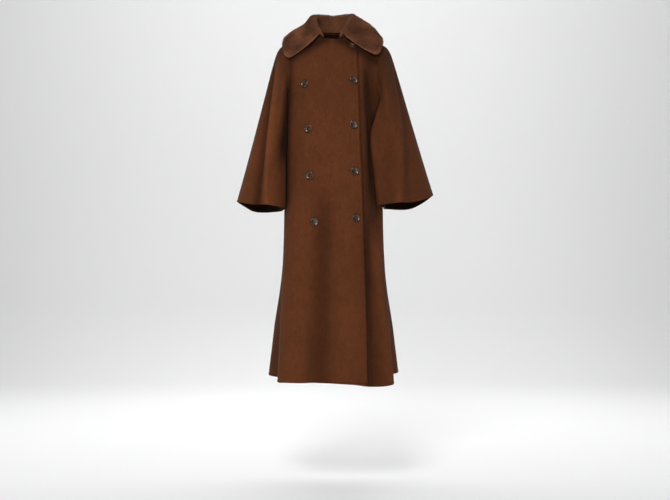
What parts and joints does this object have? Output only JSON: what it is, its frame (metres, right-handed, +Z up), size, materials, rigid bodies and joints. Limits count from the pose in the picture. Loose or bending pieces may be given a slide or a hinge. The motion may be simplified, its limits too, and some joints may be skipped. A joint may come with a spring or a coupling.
{
  "type": "long double-breasted coat",
  "caption": "Long flared double-breasted coat in its worn, hollow shape, with a broad plush collar, wide bell sleeves and horn buttons.",
  "frame": {"origin": "on the shoulder line between the two neck sides, where the wearer's shoulders carry the coat", "axes": "+Z up along the coat's length; -Y out of the front; +X towards the wearer's left"},
  "size_m": [0.685, 0.3281, 1.3088],
  "materials": {
    "wool": "brushed brown wool coating, slightly napped, matt",
    "fur": "short dense brown plush, soft and matt",
    "horn": "polished very dark brown horn"
  },
  "bodies": {
    "root": {"back_panel": "wool", "right_front": "wool", "left_front": "wool", "right_sleeve": "wool", "left_sleeve": "wool", "under_collar": "wool", "fur_collar": "fur", "button_right_1": "horn", "button_left_1": "horn", "button_right_2": "horn", "button_left_2": "horn", "button_right_3": "horn", "button_left_3": "horn", "button_right_4": "horn", "button_left_4": "horn", "button_neck": "horn"}
  },
  "joints": []
}
